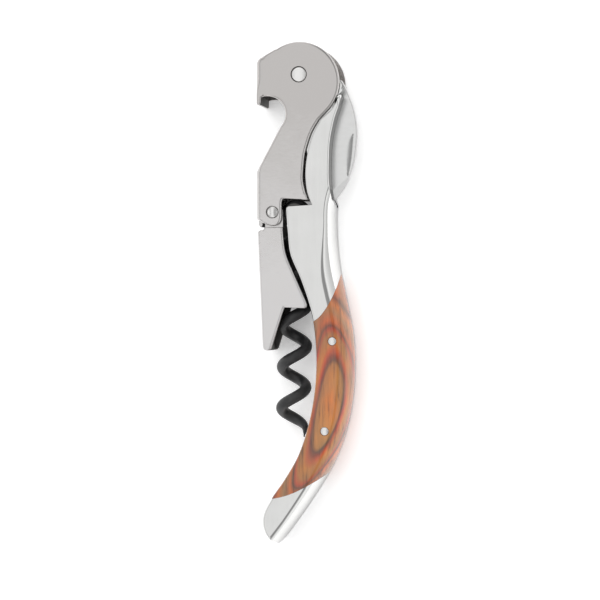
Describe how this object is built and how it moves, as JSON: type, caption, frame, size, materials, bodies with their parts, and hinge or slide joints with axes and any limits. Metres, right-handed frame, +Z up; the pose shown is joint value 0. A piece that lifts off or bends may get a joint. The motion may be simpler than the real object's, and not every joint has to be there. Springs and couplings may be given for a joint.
{
  "type": "waiter's corkscrew",
  "caption": "Slim folding waiter's corkscrew with a hinged two-step lever, black worm, foil blade and wood-sided polished steel handle.",
  "frame": {"origin": "on the surface the tool lies on, under the middle of its outline", "axes": "+Z up, square to the side faces; +Y from the tail to the lever's head; +X from the levers to the spine"},
  "size_m": [0.0237, 0.1208, 0.014],
  "materials": {
    "polished_steel": "mirror-polished stainless steel",
    "satin_steel": "satin stainless steel with a fine grain",
    "pin_steel": "bright riveted steel",
    "blade_steel": "ground blade steel",
    "black_coating": "black non-stick coating on a steel wire",
    "laminated_wood": "varnished red-brown laminated wood"
  },
  "bodies": {
    "handle": {"front_liner": "polished_steel", "rear_liner": "polished_steel", "front_upper_bolster": "polished_steel", "rear_upper_bolster": "polished_steel", "front_tail_bolster": "polished_steel", "rear_tail_bolster": "polished_steel", "front_wood_scale": "laminated_wood", "rear_wood_scale": "laminated_wood", "head_block": "satin_steel", "spine_spacer": "polished_steel", "neck_rivet": "satin_steel", "shoulder_rivet": "satin_steel", "tail_rivet": "satin_steel", "upper_scale_pin": "pin_steel", "lower_scale_pin": "pin_steel", "worm_pin": "satin_steel", "blade_pin": "satin_steel", "lever_rivet": "pin_steel", "front_worm_spacer": "satin_steel", "rear_worm_spacer": "satin_steel", "front_lever_washer": "pin_steel", "rear_lever_washer": "pin_steel"},
    "lever": {"upper_lever": "satin_steel", "fold_rivet": "pin_steel"},
    "lip_rest": {"lower_lever": "satin_steel"},
    "screw": {"worm": "black_coating"},
    "knife": {"foil_blade": "blade_steel"}
  },
  "joints": [
    {"name": "lever_swing", "type": "hinge", "parent": "handle", "child": "lever", "pos_m": [-0.00163, 0.05268, 0.007], "axis": [0, 0, -1], "range_deg": [0, 135]},
    {"name": "lower_lever_fold", "type": "hinge", "parent": "lever", "child": "lip_rest", "pos_m": [-0.00804, 0.01963, 0.007], "axis": [0, 0, -1], "range_deg": [0, 14]},
    {"name": "worm_swing", "type": "hinge", "parent": "handle", "child": "screw", "pos_m": [-0.003, 0.0196, 0.007], "axis": [0, 0, -1], "range_deg": [0, 90.5]},
    {"name": "blade_swing", "type": "hinge", "parent": "handle", "child": "knife", "pos_m": [0.0042, 0.047, 0.007], "axis": [0, 0, 1], "range_deg": [0, 105]}
  ],
  "couplings": [
    {"joint": "worm_swing", "follows": "lever_swing", "ratio": 0.6666}
  ]
}
